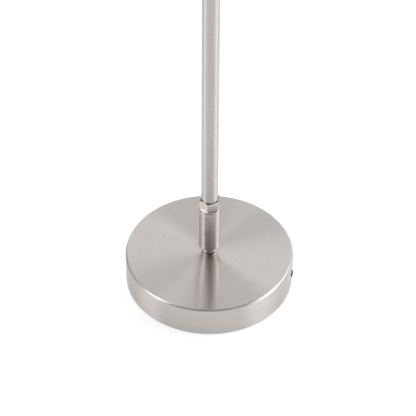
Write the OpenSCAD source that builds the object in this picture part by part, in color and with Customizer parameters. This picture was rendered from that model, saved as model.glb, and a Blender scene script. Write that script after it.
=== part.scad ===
// Torchiere floor lamp: a weighted round base, a clamping sleeve with a lock nut,
// a tube pole in three lengths with a rotary dimmer, and an open glass bowl on top.
// Millimetres, +Z up. The origin is on the floor at the centre of the base.
// The cord inlet faces +X and the dimmer knob faces -Y.

/* [Base] */
// Outside diameter of the base cover
base_d = 254; // [220:1:320]
// Height of the base cover
base_h = 49.5; // [44:0.5:70]
// Rounding of the cover's top edge
base_fillet = 3.8; // [2:0.1:8]
// Sheet thickness of the cover
cover_t = 1.5; // [1:0.1:2.5]
// Thickness of the closing plate
plate_t = 2; // [1.5:0.5:4]
// Depth of the closing plate inside the cover's edge
plate_recess = 0.5; // [0.2:0.1:2]
// Gap between the floor and the cover's edge
foot_gap = 1; // [0.5:0.5:4]
// Diameter of a foot pad
foot_d = 22; // [14:1:30]
// Radius of the circle that the foot pads are on
foot_circle_r = 104; // [80:1:110]
// Thickness of the iron weight's disc
weight_t = 15; // [12:1:18]
// Gap between the weight and the cover's wall
weight_gap = 7.5; // [4:0.5:12]
// Diameter of the weight's central boss
boss_d = 50; // [40:1:60]
// Radius of the circle that the plate screws are on
screw_circle_r = 84; // [60:1:90]
// Shank diameter of a plate screw
plate_screw_d = 4; // [3:0.5:5]
// Length of a plate screw
plate_screw_len = 12; // [8:1:14]

/* [Cord inlet] */
// Height of the inlet's axis above the floor
inlet_z = 25; // [23:0.5:34]
// Bore of the gland, which takes a round supply cord
gland_bore_d = 6.6; // [5:0.1:7]
// Diameter of the gland's flanges
gland_d = 10.4; // [10:0.1:12]
// Diameter of the gland's neck in the wall
gland_neck_d = 8.4; // [8:0.1:9]
// Thickness of each flange of the gland
gland_flange_t = 1.4; // [1:0.1:2.5]

/* [Base wiring] */
// Diameter of the inner wire
wire_d = 5; // [4:0.1:6]
// Bend radius of the inner wire
wire_bend_r = 6; // [5:0.5:8]
// Distance of the riser hole from the centre
riser_x = 46; // [36:1:60]
// Distance of the terminal block's near face from the centre
block_x = 60; // [56:1:80]
// Length of the terminal block
block_len = 24; // [18:1:30]
// Width of the terminal block
block_w = 22; // [16:1:30]
// Height of the terminal block
block_h = 14; // [11:1:18]
// Diameter of a terminal screw
terminal_screw_d = 4; // [3:0.5:5]
// Depth of the hole for a terminal screw
terminal_hole_h = 6; // [4:0.5:8]

/* [Centre stud] */
// Diameter of the hollow stud
stud_d = 12; // [11:0.5:14]
// Bore of the hollow stud
stud_bore_d = 7.5; // [6.5:0.5:8.5]
// Depth of the stud nut's pocket in the weight
pocket_depth = 21; // [20:1:26]
// Diameter of the stud washer
washer_d = 30; // [26:1:34]
// Thickness of the stud washer
washer_t = 2; // [1:0.5:3]
// Width across flats of the stud nut
stud_nut_af = 19; // [17:1:22]
// Height of the stud nut
stud_nut_h = 6; // [5:0.5:8]

/* [Clamp] */
// Diameter of the neck and of the washer under it
neck_d = 23; // [20:0.1:30]
// Height of the neck
neck_h = 9; // [3:0.5:14]
// Diameter of the rubber ring under the neck
neck_ring_d = 19; // [15:0.5:20]
// Thickness of the rubber ring under the neck
neck_ring_t = 2.5; // [1.5:0.5:4]
// Thickness of the washer on the cover
foot_washer_t = 1.5; // [1:0.5:3]
// Outside diameter of the sleeve and of the lock nut
sleeve_d = 32; // [31.5:0.5:40]
// Length of the sleeve
sleeve_len = 74; // [70:1:140]
// Thickness of the sleeve's floor
sleeve_floor_t = 8; // [6:0.5:12]
// Bevel at the sleeve's lower edge
sleeve_bevel = 1.5; // [0.4:0.1:1.8]
// Depth of the counterbore that holds the collet and the nut's skirt
counterbore_depth = 26; // [22:1:34]
// Wall of the sleeve around the counterbore
counterbore_wall = 1.6; // [1.2:0.1:2]
// Length of the nylon collet
collet_len = 9; // [6:0.5:12]
// Width of the collet's slit
collet_slit = 1.6; // [1:0.1:3]
// Width of the lock nut's hexagon across flats
nut_af = 28; // [27.6:0.1:28.4]
// Height of the lock nut's round flange
nut_flange_h = 3; // [3:0.5:8]
// Height of the lock nut's hexagon
nut_hex_h = 16; // [10:0.5:24]
// Width of the hexagonal recess in the nut's top
nut_recess_af = 26; // [25.6:0.1:26.4]
// Depth of the hexagonal recess in the nut's top
nut_recess_h = 8; // [2:0.5:10]
// Angle of the lock nut at rest
nut_angle = 0; // [-30:1:30]
// Bevel at the lock nut's top corners
nut_bevel = 0.8; // [0.3:0.1:1.2]

/* [Pole] */
// Outside diameter of the pole tubes
pole_d = 25; // [24:0.1:25.6]
// Wall of the pole tubes
pole_wall = 1.5; // [1:0.1:2]
// Length of the lower tube
lower_len = 560; // [400:10:620]
// Length of the middle tube
middle_len = 560; // [400:10:620]
// Length of the upper tube
upper_len = 379; // [200:5:500]
// Height of the slip plug's flange under the pole
slip_flange_h = 4; // [3:0.5:8]
// Height of the slip plug's spigot in the pole
slip_spigot_h = 12; // [8:1:20]
// Bore of the slip plug
slip_bore_d = 15; // [10:0.5:16]
// Height of the ring between the lower and the middle tube
ring_h = 3; // [2:0.5:6]
// How far the joint ring stands out from the tubes
ring_lip = 0.5; // [0.2:0.1:1]
// Depth of a coupler or plug in a tube
plug_len = 22; // [16:1:30]
// Bore of the tube plugs and of the coupler
plug_bore_d = 10; // [8:0.5:11]
// Diameter of the threaded spigot on a tube plug
spigot_d = 16; // [13:0.5:17]

/* [Dimmer] */
// Outside diameter of the dimmer housing
housing_d = 34; // [33:0.5:42]
// Length of the dimmer housing with its cap
housing_len = 76; // [70:1:100]
// Wall of the dimmer housing
housing_wall = 1.5; // [1:0.1:2.5]
// Thickness of the housing's floor and of its cap
housing_end_t = 4; // [3:0.5:6]
// Width across flats of the nuts in the housing
housing_nut_af = 22; // [20:1:24]
// Thickness of the nuts in the housing
housing_nut_t = 4; // [3:0.5:5]
// Diameter of the flat pad that the knob sits on
pad_d = 23; // [18:0.5:28]
// How far the pad stands out from the housing
pad_out = 1.8; // [1.2:0.1:5]
// Width of the dimmer module
module_w = 18; // [14:0.5:18]
// Height of the dimmer module
module_h = 30; // [24:1:34]
// Diameter of the dimmer's threaded bushing
bushing_d = 7; // [6.6:0.1:8]
// Length of the bushing beyond the pad
bushing_out = 4.6; // [3.5:0.1:5]
// Width across flats of the bushing nut
bushing_nut_af = 10; // [9:0.5:11]
// Thickness of the bushing nut
bushing_nut_t = 2; // [1.5:0.1:3]
// Diameter of the dimmer shaft
shaft_d = 5; // [4:0.1:5.4]
// Diameter of the knob
knob_d = 20; // [16:0.5:26]
// Length of the knob
knob_len = 16; // [13:0.5:22]
// Front wall of the knob ahead of the shaft
knob_front_t = 2.2; // [1.5:0.1:3]
// Width of the knob's pointer groove
pointer_w = 1.4; // [0.8:0.1:2]

/* [Head] */
// Height of the collar under the glass holder
collar_h = 24; // [18:1:32]
// Diameter of the collar at its lower edge
collar_d = 31; // [30:0.5:36]
// Diameter of the collar at its top
collar_top_d = 50; // [44:1:56]
// Height of the rim at the collar's top
collar_rim_h = 1.5; // [1:0.5:4]
// Thickness of the collar's solid top
collar_top_t = 6; // [4:0.5:9]
// Diameter of the collar's set screw
set_screw_d = 4; // [3:0.5:5]
// Diameter of the hollow nipple
nipple_d = 10; // [9:0.5:11]
// Depth of the nipple's thread in the lamp holder
nipple_entry = 6; // [4:0.5:7]
// Bore of the hollow nipple
nipple_bore_d = 6.4; // [6.2:0.1:7]
// Sheet thickness of the glass holder
holder_t = 1.5; // [1:0.1:2.5]
// Rise of the holder from its floor to its seat
holder_rise = 12; // [9:0.5:16]
// Radius of the holder's flat floor
holder_floor_r = 27; // [26:0.5:32]
// Height of the holder's outer lip
holder_lip_h = 3.6; // [3:0.1:4]
// Thickness of the rubber gasket
gasket_t = 2.5; // [2.2:0.1:4]
// Height of the gasket's upstand in the bowl's hole
upstand_h = 4; // [3:0.5:6]
// Thickness of the gasket's upstand
upstand_t = 2; // [1.5:0.1:3]
// Diameter of the washer in the holder
holder_washer_d = 26; // [22:1:34]
// Thickness of the washer in the holder
holder_washer_t = 1.5; // [1:0.5:2]
// Width across flats of the nut in the holder
holder_nut_af = 14; // [13:0.5:17]
// Thickness of the nut in the holder
holder_nut_t = 4; // [3:0.5:6]

/* [Lamp holder] */
// Outside diameter of the porcelain lamp holder
socket_d = 38; // [36:0.5:42]
// How far the screw shell lies below the lamp holder's rim
liner_drop = 2; // [1:0.5:4]
// How far the bulb's cap stands out of the lamp holder
cap_show = 1; // [0:0.5:3]
// Thickness of the lamp holder's floor
socket_floor_t = 10; // [8:0.5:14]
// Outside diameter of the screw shell
liner_d = 29; // [28.6:0.1:30]
// Height of the screw shell
liner_h = 22; // [18:1:26]
// Height of the centre contact
contact_h = 6; // [4:0.5:8]
// Diameter of the centre contact's spring
contact_d = 7; // [5:0.5:9]
// Diameter of the centre contact's plate
contact_plate_d = 14; // [11:0.5:20]

/* [Bulb] */
// Diameter of the bulb's cap
cap_d = 26.4; // [26.2:0.1:26.6]
// Height of the bulb's cap
cap_h = 24; // [20:0.5:27]
// Diameter of the bulb's globe
globe_d = 60; // [48:1:62]
// Height of the whole bulb
bulb_h = 108; // [96:1:112]
// Height of the contact under the bulb's cap
bulb_tip_h = 3; // [2:0.5:5]

/* [Glass bowl] */
// Diameter of the bowl at its rim
bowl_d = 372; // [320:2:420]
// Depth of the bowl
bowl_depth = 120; // [100:1:150]
// Radius of the outer edge of the bowl's foot
bowl_foot_r = 56; // [54:0.5:60]
// Thickness of the glass
glass_t = 4; // [3:0.1:4.2]
// Thickness of the bead around the rim
rim_bead_d = 6; // [5:0.1:8]

/* [Clearances] */
// Gap between pieces that move past each other
move_gap = 0.3; // [0.2:0.05:0.5]
// Radial clearance of a sliding fit on the pole
slide_fit = 0.1; // [0.05:0.01:0.1]
// Radial clearance of a close fit
close_fit = 0.05; // [0.02:0.01:0.08]

/* [Hidden] */
$fn = 72;
eps = 0.01;
foot_count = 4;
plate_screw_count = 4;

// Base, from the floor up
base_r = base_d / 2;
cover_in_r = base_r - cover_t;
cover_top = foot_gap + base_h;
plate_z = foot_gap + plate_recess;
weight_z = plate_z + plate_t;
weight_top = weight_z + weight_t;
boss_top = cover_top - cover_t;
weight_r = cover_in_r - weight_gap;
pocket_top = weight_z + pocket_depth;
stud_nut_z = pocket_top - washer_t - stud_nut_h;
stud_z = stud_nut_z - 1;
wire_r = wire_d / 2;
channel_h = stud_z - weight_z - 1;
channel_w = wire_d + 4;
wire_low_z = stud_z - wire_bend_r;
wire_high_z = weight_top + block_h / 2;

// Clamp
pole_r = pole_d / 2;
tube_in_r = pole_r - pole_wall;
neck_ring_z = cover_top + foot_washer_t;
neck_z = neck_ring_z + neck_ring_t;
neck_top = neck_z + neck_h;
sleeve_r = sleeve_d / 2;
sleeve_floor_top = neck_top + sleeve_floor_t;
sleeve_top = neck_top + sleeve_len;
guide_r = pole_r + slide_fit;
counter_r = sleeve_r - counterbore_wall;
seat_z = sleeve_top - counterbore_depth;
seat_cone_h = counter_r - guide_r;
collet_z = seat_z + move_gap;
collet_top = collet_z + collet_len;
skirt_r = counter_r - slide_fit;
nut_z = sleeve_top + move_gap;
nut_hex_z = nut_z + nut_flange_h;
nut_top = nut_hex_z + nut_hex_h;
nut_bore_r = pole_r + move_gap;
nut_corner_r = sleeve_r - 0.1;

// Pole
slip_z = sleeve_floor_top + move_gap;
slip_top = slip_z + slip_flange_h;
lower_z = slip_top + move_gap;
lower_top = lower_z + lower_len;
middle_z = lower_top + ring_h;
middle_top = middle_z + middle_len;
housing_z = middle_top;
housing_r = housing_d / 2;
housing_in_r = housing_r - housing_wall;
housing_floor_top = housing_z + housing_end_t;
housing_top = housing_z + housing_len;
lid_z = housing_top - housing_end_t;
upper_z = housing_top;
upper_top = upper_z + upper_len;
plug_r = tube_in_r - close_fit;
spigot_h = housing_end_t + housing_nut_t + 1;

// Dimmer
dimmer_z = housing_z + housing_len / 2;
pad_y = -housing_r - pad_out;
module_front = -sqrt(pow(housing_in_r, 2) - pow(module_w / 2, 2)) + close_fit;
module_back = wire_r + 1.5;
module_z = dimmer_z - module_h / 2;
bushing_y = pad_y - bushing_out;
shaft_start = 4;
knob_y = pad_y - move_gap;
knob_front_y = knob_y - knob_len;
knob_recess_r = bushing_nut_af / 2 / cos(30) + 1;
knob_recess_y = bushing_y - move_gap;
shaft_front_y = knob_front_y + knob_front_t;

// Head
collar_z = upper_top + collar_top_t - collar_h;
holder_z = upper_top + collar_top_t;
holder_floor_top = holder_z + holder_t;
seat_top = holder_z + holder_rise + holder_t;
bowl_z = seat_top + gasket_t + move_gap;
bowl_r = bowl_d / 2;
washer_top = holder_floor_top + holder_washer_t;
socket_z = washer_top + holder_nut_t;
socket_floor_top = socket_z + socket_floor_t;
liner_in_r = cap_d / 2 + slide_fit;
contact_top = socket_floor_top + contact_h;
bulb_z = contact_top + move_gap;
cap_z = bulb_z + bulb_tip_h;
cap_top = cap_z + cap_h;
socket_top = cap_top - cap_show;
liner_z = socket_top - liner_drop - liner_h;
bulb_top = bulb_z + bulb_h;
globe_r = globe_d / 2;

// The bowl is a slice of a sphere that passes through its foot and its rim.
sphere_h = (bowl_r * bowl_r + bowl_depth * bowl_depth - bowl_foot_r * bowl_foot_r) / (2 * bowl_depth);
sphere_r = sqrt(bowl_foot_r * bowl_foot_r + sphere_h * sphere_h);
bowl_hole_r = sqrt(pow(sphere_r - glass_t, 2) - sphere_h * sphere_h);
holder_seat_in_r = bowl_hole_r - 4;
holder_r = bowl_foot_r + 4;

// Points along an arc about (cx, cy), from angle a0 to a1 in n steps
function arc(cx, cy, r, a0, a1, n) =
    [for (i = [0:n]) [cx + r * cos(a0 + (a1 - a0) * i / n), cy + r * sin(a0 + (a1 - a0) * i / n)]];

// A ring of height h standing at z
module ring(r_out, r_in, h, z) {
    translate([0, 0, z]) difference() {
        cylinder(r = r_out, h = h);
        translate([0, 0, -1]) cylinder(r = r_in, h = h + 2);
    }
}

// A hexagon nut of width af across flats
module hex_nut(af, bore_r, h, z) {
    translate([0, 0, z]) difference() {
        cylinder(r = af / 2 / cos(30), h = h, $fn = 6);
        translate([0, 0, -1]) cylinder(r = bore_r, h = h + 2);
    }
}

// A quarter bend of wire that turns from -Z at the origin to +X
module wire_bend() {
    translate([wire_bend_r, 0, 0]) rotate([90, 0, 0]) rotate([0, 0, 180])
        rotate_extrude(angle = 90) translate([wire_bend_r, 0]) circle(r = wire_r, $fn = 32);
}

// Turns a shape made along +Z so that it points along -Y at the dimmer's height
module at_dimmer() {
    translate([0, 0, dimmer_z]) rotate([90, 0, 0]) children();
}

// A plug in a tube's end, with a threaded spigot that points along +Z from z = 0
module tube_plug() {
    difference() {
        union() {
            translate([0, 0, -plug_len]) cylinder(r = plug_r, h = plug_len);
            cylinder(r = spigot_d / 2, h = spigot_h);
        }
        translate([0, 0, -plug_len - 1]) cylinder(d = plug_bore_d, h = plug_len + spigot_h + 2);
    }
}

// Pressed cover: a flat top, a rounded edge and a straight wall
module base_cover() {
    in_fillet = max(base_fillet - cover_t, 0.4);
    color("silver") difference() {
        translate([0, 0, foot_gap]) rotate_extrude($fn = 128)
            polygon(concat(
                [[0, base_h - cover_t], [0, base_h]],
                arc(base_r - base_fillet, base_h - base_fillet, base_fillet, 90, 0, 12),
                [[base_r, 0], [cover_in_r, 0]],
                arc(cover_in_r - in_fillet, base_h - cover_t - in_fillet, in_fillet, 0, 90, 8)
            ));
        translate([0, 0, boss_top - 1]) cylinder(r = stud_d / 2 + close_fit, h = cover_t + 2);
        translate([cover_in_r - 4, 0, inlet_z]) rotate([0, 90, 0])
            cylinder(d = gland_neck_d, h = cover_t + 8);
    }
}

module base_weight() {
    color("dimgray") difference() {
        union() {
            translate([0, 0, weight_z]) cylinder(r = weight_r, h = weight_t, $fn = 128);
            translate([0, 0, weight_z]) cylinder(d = boss_d, h = boss_top - weight_z);
        }
        translate([0, 0, weight_z - 1]) cylinder(r = washer_d / 2 + 1, h = pocket_depth + 1);
        cylinder(r = stud_d / 2 + close_fit, h = cover_top);
        translate([0, -channel_w / 2, weight_z - 1]) cube([riser_x, channel_w, channel_h + 1]);
        translate([riser_x, 0, weight_z - 1]) cylinder(d = channel_w, h = weight_t + 2);
        plate_screw_places() cylinder(d = plate_screw_d, h = plate_screw_len + 1);
    }
}

// Puts its children at the foot of each plate screw
module plate_screw_places() {
    for (i = [0:plate_screw_count - 1])
        rotate([0, 0, i * 360 / plate_screw_count]) translate([screw_circle_r, 0, plate_z])
            children();
}

// The countersunk outline of a plate screw
module screw_shape(extra) {
    cylinder(d1 = 2 * plate_screw_d + 2 * extra, d2 = plate_screw_d + 2 * extra, h = plate_t);
    cylinder(r = plate_screw_d / 2 + extra, h = plate_screw_len);
}

module base_plate() {
    color("black") difference() {
        translate([0, 0, plate_z]) cylinder(r = cover_in_r - move_gap, h = plate_t, $fn = 128);
        plate_screw_places() screw_shape(0);
    }
}

module foot_pads() {
    color("black") for (i = [0:foot_count - 1])
        rotate([0, 0, 45 + i * 360 / foot_count]) translate([foot_circle_r, 0, 0])
            cylinder(d = foot_d, h = plate_z);
}

module plate_screws() {
    color("gray") plate_screw_places() screw_shape(0);
}

// Rubber gland: a neck in the wall between two flanges
module cord_gland() {
    color("black") translate([0, 0, inlet_z]) rotate([0, 90, 0]) difference() {
        union() {
            translate([0, 0, base_r]) cylinder(d = gland_d, h = gland_flange_t);
            translate([0, 0, cover_in_r - 0.2]) cylinder(d = gland_neck_d, h = cover_t + 0.4);
            translate([0, 0, cover_in_r - 0.2 - gland_flange_t])
                cylinder(d = gland_d, h = gland_flange_t);
        }
        translate([0, 0, cover_in_r - 5]) cylinder(d = gland_bore_d, h = 10);
    }
}

// Places of the four terminal screws on the block
module terminal_places() {
    for (x = [0.25, 0.75], y = [-0.25, 0.25])
        translate([block_x + x * block_len, y * block_w, weight_top]) children();
}

module terminal_block() {
    color("white") difference() {
        translate([block_x, -block_w / 2, weight_top]) cube([block_len, block_w, block_h]);
        terminal_places() translate([0, 0, block_h - terminal_hole_h])
            cylinder(d = terminal_screw_d, h = terminal_hole_h + 1);
    }
}

module terminal_screws() {
    color("gold") terminal_places() translate([0, 0, block_h - terminal_hole_h])
        cylinder(d = terminal_screw_d, h = terminal_hole_h - 1);
}

// From the terminal block, down the riser, along the channel and up the stud
module base_wire() {
    color("black") {
        translate([0, 0, stud_z]) cylinder(r = wire_r, h = sleeve_floor_top - stud_z);
        translate([0, 0, stud_z]) wire_bend();
        translate([wire_bend_r, 0, wire_low_z]) rotate([0, 90, 0])
            cylinder(r = wire_r, h = riser_x - 2 * wire_bend_r);
        translate([riser_x, 0, stud_z]) mirror([1, 0, 0]) wire_bend();
        translate([riser_x, 0, stud_z]) cylinder(r = wire_r, h = wire_high_z - wire_bend_r - stud_z);
        translate([riser_x, 0, wire_high_z - wire_bend_r]) mirror([0, 0, 1]) wire_bend();
        translate([riser_x + wire_bend_r, 0, wire_high_z]) rotate([0, 90, 0])
            cylinder(r = wire_r, h = block_x - riser_x - wire_bend_r);
    }
}

module base_stud() {
    color("gray") ring(stud_d / 2, stud_bore_d / 2, sleeve_floor_top - stud_z, stud_z);
}

module stud_washer() {
    color("gray") ring(washer_d / 2, stud_d / 2, washer_t, pocket_top - washer_t);
}

module stud_nut() {
    color("gray") hex_nut(stud_nut_af, stud_d / 2, stud_nut_h, stud_nut_z);
}

module foot_washer() {
    color("silver") ring(neck_d / 2, stud_d / 2 + close_fit, foot_washer_t, cover_top);
}

module neck_ring() {
    color("dimgray") ring(neck_ring_d / 2, stud_d / 2 + close_fit, neck_ring_t, neck_ring_z);
}

module neck_spacer() {
    color("silver") ring(neck_d / 2, stud_d / 2 + close_fit, neck_h, neck_z);
}

// Sleeve with a guide bore for the pole and a counterbore for the collet and the nut
module clamp_sleeve() {
    color("silver") difference() {
        union() {
            translate([0, 0, neck_top])
                cylinder(r1 = sleeve_r - sleeve_bevel, r2 = sleeve_r, h = sleeve_bevel);
            translate([0, 0, neck_top + sleeve_bevel])
                cylinder(r = sleeve_r, h = sleeve_len - sleeve_bevel);
        }
        translate([0, 0, neck_top - 1]) cylinder(d = stud_d, h = sleeve_floor_t + 2);
        translate([0, 0, sleeve_floor_top]) cylinder(r = guide_r, h = sleeve_len);
        translate([0, 0, seat_z - seat_cone_h])
            cylinder(r1 = guide_r, r2 = counter_r, h = seat_cone_h);
        translate([0, 0, seat_z]) cylinder(r = counter_r, h = counterbore_depth + 1);
    }
}

// Split nylon collet, bevelled to match the seat in the sleeve
module clamp_collet() {
    bevel = (skirt_r - pole_r) * 0.6;
    color("ivory") difference() {
        union() {
            translate([0, 0, collet_z]) cylinder(r1 = skirt_r - bevel, r2 = skirt_r, h = bevel);
            translate([0, 0, collet_z + bevel]) cylinder(r = skirt_r, h = collet_len - bevel);
        }
        translate([0, 0, collet_z - 1]) cylinder(r = pole_r + close_fit, h = collet_len + 2);
        translate([0, -collet_slit / 2, collet_z - 1])
            cube([sleeve_r, collet_slit, collet_len + 2]);
    }
}

// Gland nut: a threaded skirt in the sleeve, a round flange and a hollow hexagon
module lock_nut() {
    skirt_z = collet_top + move_gap;
    color("silver") rotate([0, 0, nut_angle]) difference() {
        union() {
            translate([0, 0, skirt_z]) cylinder(r = skirt_r, h = nut_z + 1 - skirt_z);
            translate([0, 0, nut_z]) cylinder(r = sleeve_r, h = nut_flange_h);
            intersection() {
                translate([0, 0, nut_hex_z - 1]) rotate([0, 0, 30])
                    cylinder(r = nut_af / 2 / cos(30), h = nut_hex_h + 1, $fn = 6);
                union() {
                    translate([0, 0, nut_hex_z - 1])
                        cylinder(r = nut_corner_r, h = nut_hex_h + 1 - nut_bevel);
                    translate([0, 0, nut_top - nut_bevel])
                        cylinder(r1 = nut_corner_r, r2 = nut_corner_r - 1.6 * nut_bevel, h = nut_bevel);
                }
            }
        }
        translate([0, 0, skirt_z - 1]) cylinder(r = nut_bore_r, h = nut_top);
        translate([0, 0, nut_top - nut_recess_h]) rotate([0, 0, 30])
            cylinder(r = nut_recess_af / 2 / cos(30), h = nut_recess_h + 1, $fn = 6);
    }
}

// Nylon plug that carries the pole's foot and slides in the sleeve
module slip_plug() {
    color("ivory") difference() {
        union() {
            translate([0, 0, slip_z]) cylinder(r = pole_r, h = slip_flange_h);
            translate([0, 0, slip_z])
                cylinder(r = tube_in_r - slide_fit, h = slip_flange_h + slip_spigot_h);
        }
        translate([0, 0, slip_z - 1])
            cylinder(d = slip_bore_d, h = slip_flange_h + slip_spigot_h + 2);
    }
}

module lower_tube() {
    color("silver") ring(pole_r, tube_in_r, lower_len, lower_z);
}

module tube_coupler() {
    color("gray") ring(plug_r, plug_bore_d / 2, 2 * plug_len + ring_h, lower_top - plug_len);
}

module joint_ring() {
    color("silver") ring(pole_r + ring_lip, plug_r + close_fit, ring_h, lower_top);
}

module middle_tube() {
    color("silver") ring(pole_r, tube_in_r, middle_len, middle_z);
}

module middle_plug() {
    color("gray") translate([0, 0, middle_top]) tube_plug();
}

module lower_wire() {
    color("black") translate([0, 0, lower_z]) cylinder(r = wire_r, h = module_z - lower_z);
}

// Housing: a tube with a floor and a flat pad for the knob
module dimmer_housing() {
    color("silver") difference() {
        union() {
            translate([0, 0, housing_z]) cylinder(r = housing_r, h = housing_len - housing_end_t);
            at_dimmer() cylinder(d = pad_d, h = -pad_y);
        }
        translate([0, 0, housing_floor_top]) cylinder(r = housing_in_r, h = housing_len);
        translate([0, 0, housing_z - 1]) cylinder(r = spigot_d / 2 + close_fit, h = housing_end_t + 2);
        at_dimmer() cylinder(r = bushing_d / 2 + close_fit, h = -bushing_y);
    }
}

module housing_cap() {
    color("silver") {
        ring(housing_r, spigot_d / 2 + close_fit, housing_end_t, lid_z);
        ring(housing_in_r - close_fit, housing_in_r - 1.5, 4 + eps, lid_z - 4);
    }
}

module housing_nuts() {
    color("gray") {
        hex_nut(housing_nut_af, spigot_d / 2, housing_nut_t, housing_floor_top);
        hex_nut(housing_nut_af, spigot_d / 2, housing_nut_t, lid_z - housing_nut_t);
    }
}

// Dimmer module with the threaded bushing that the shaft turns in
module dimmer_module() {
    color("navy") difference() {
        union() {
            translate([-module_w / 2, module_front, module_z])
                cube([module_w, module_back - module_front, module_h]);
            at_dimmer() cylinder(d = bushing_d, h = -bushing_y);
        }
        at_dimmer() translate([0, 0, shaft_start]) cylinder(r = shaft_d / 2 + close_fit, h = -bushing_y);
    }
}

module bushing_nut() {
    color("gray") at_dimmer() hex_nut(bushing_nut_af, bushing_d / 2, bushing_nut_t, -pad_y);
}

module dimmer_shaft() {
    color("gray") at_dimmer() translate([0, 0, shaft_start + move_gap])
        cylinder(d = shaft_d, h = -shaft_front_y - shaft_start - move_gap);
}

// Knob with a recess that clears the bushing nut, and a pointer groove in its face
module dimmer_knob() {
    color("silver") at_dimmer() difference() {
        union() {
            translate([0, 0, -knob_y]) cylinder(d = knob_d, h = knob_len - 1);
            translate([0, 0, -knob_front_y - 1]) cylinder(d1 = knob_d, d2 = knob_d - 2, h = 1);
        }
        translate([0, 0, -knob_y - 1]) cylinder(r = knob_recess_r, h = knob_y - knob_recess_y + 1);
        cylinder(d = shaft_d, h = -shaft_front_y);
        translate([-pointer_w / 2, knob_d * 0.1, -knob_front_y - 0.8]) cube([pointer_w, knob_d, 2]);
    }
}

module upper_plug() {
    color("gray") translate([0, 0, upper_z]) mirror([0, 0, 1]) tube_plug();
}

module upper_tube() {
    color("silver") ring(pole_r, tube_in_r, upper_len, upper_z);
}

// From the dimmer module to the lamp holder, through the nipple
module upper_wire() {
    from_z = module_z + module_h;
    color("black") translate([0, 0, from_z]) cylinder(r = wire_r, h = socket_z + 2 - from_z);
}

module head_plug() {
    color("gray") ring(plug_r, nipple_d / 2, plug_len, upper_top - plug_len);
}

// Collar that flares from the tube to the glass holder
module head_collar() {
    flare_r = (collar_top_d - collar_d) / 2;
    color("silver") difference() {
        translate([0, 0, collar_z]) rotate_extrude() polygon(concat(
            [[0, 0], [collar_d / 2, 0]],
            arc(collar_top_d / 2, collar_h - flare_r - collar_rim_h, flare_r, 180, 90, 12),
            [[collar_top_d / 2, collar_h], [0, collar_h]]
        ));
        translate([0, 0, collar_z - 1])
            cylinder(r = pole_r + close_fit, h = collar_h - collar_top_t + 1);
        cylinder(d = nipple_d, h = holder_z + 1);
        set_screw_place() cylinder(d = set_screw_d, h = collar_top_d);
    }
}

// The set screw's axis, from the tube's wall out along +Y
module set_screw_place() {
    translate([0, 0, collar_z + set_screw_d]) rotate([-90, 0, 0])
        translate([0, 0, pole_r]) children();
}

module set_screw() {
    color("gray") set_screw_place() cylinder(d = set_screw_d, h = collar_d / 2 - pole_r);
}

module nipple() {
    nipple_z = upper_top - plug_len;
    color("gray") ring(nipple_d / 2, nipple_bore_d / 2, socket_z + nipple_entry - nipple_z, nipple_z);
}

// Spun dish with a flat floor, a cone and a flat seat with a low outer lip
module glass_holder() {
    rise = holder_rise;
    cone_r = holder_seat_in_r - holder_t;
    color("silver") translate([0, 0, holder_z]) rotate_extrude($fn = 128) polygon([
        [nipple_d / 2, 0], [holder_floor_r, 0], [cone_r + holder_t, rise], [holder_r, rise],
        [holder_r, rise + holder_lip_h], [holder_r - holder_t, rise + holder_lip_h],
        [holder_r - holder_t, rise + holder_t], [cone_r, rise + holder_t],
        [holder_floor_r - holder_t, holder_t], [nipple_d / 2, holder_t]
    ]);
}

module holder_washer() {
    color("gray") ring(holder_washer_d / 2, nipple_d / 2, holder_washer_t, holder_floor_top);
}

module holder_nut() {
    color("gray") hex_nut(holder_nut_af, nipple_d / 2, holder_nut_t, washer_top);
}

// Rubber ring under the glass, with an upstand that centres the bowl's hole
module glass_gasket() {
    upstand_r = bowl_hole_r - move_gap;
    color("white") {
        ring(holder_r - holder_t - close_fit, upstand_r - upstand_t, gasket_t, seat_top);
        ring(upstand_r, upstand_r - upstand_t, gasket_t + upstand_h, seat_top);
    }
}

module socket_body() {
    color("white") difference() {
        translate([0, 0, socket_z]) cylinder(d = socket_d, h = socket_top - socket_z);
        translate([0, 0, socket_floor_top]) cylinder(d = liner_d, h = socket_top);
        translate([0, 0, socket_z - 1]) cylinder(d = nipple_d, h = nipple_entry + 1);
    }
}

module socket_liner() {
    color("gold") ring(liner_d / 2, liner_in_r, liner_h, liner_z);
}

module socket_contact() {
    color("gold") translate([0, 0, socket_floor_top]) {
        cylinder(d = contact_plate_d, h = 1.5);
        cylinder(d = contact_d, h = contact_h);
    }
}

// Bowl: a slice of a hollow sphere with a flat foot and a rounded rim
module glass_bowl() {
    rim_r = (bowl_r + sqrt(pow(sphere_r - glass_t, 2) - pow(sphere_h - bowl_depth, 2))) / 2;
    color("white") translate([0, 0, bowl_z]) union() {
        intersection() {
            translate([0, 0, sphere_h]) difference() {
                sphere(r = sphere_r, $fn = 144);
                sphere(r = sphere_r - glass_t, $fn = 144);
            }
            cylinder(r = bowl_d, h = bowl_depth);
        }
        translate([0, 0, bowl_depth]) rotate_extrude($fn = 144) translate([rim_r, 0])
            circle(d = rim_bead_d, $fn = 32);
    }
}

module bulb_cap() {
    color("gainsboro") translate([0, 0, cap_z]) cylinder(d = cap_d, h = cap_h);
}

// Globe with a neck that flares up from the cap
module bulb_globe() {
    centre_h = bulb_top - globe_r - cap_top;
    color("white") translate([0, 0, cap_top]) {
        cylinder(r1 = cap_d / 2, r2 = globe_r * sin(60), h = centre_h - globe_r * cos(60));
        intersection() {
            translate([0, 0, centre_h]) sphere(r = globe_r, $fn = 96);
            translate([0, 0, centre_h - globe_r * cos(60)]) cylinder(r = globe_r + 1, h = 2 * globe_r);
        }
    }
}

module bulb_contact() {
    color("gold") translate([0, 0, bulb_z]) cylinder(d1 = contact_d, d2 = cap_d / 2, h = bulb_tip_h);
}

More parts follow.
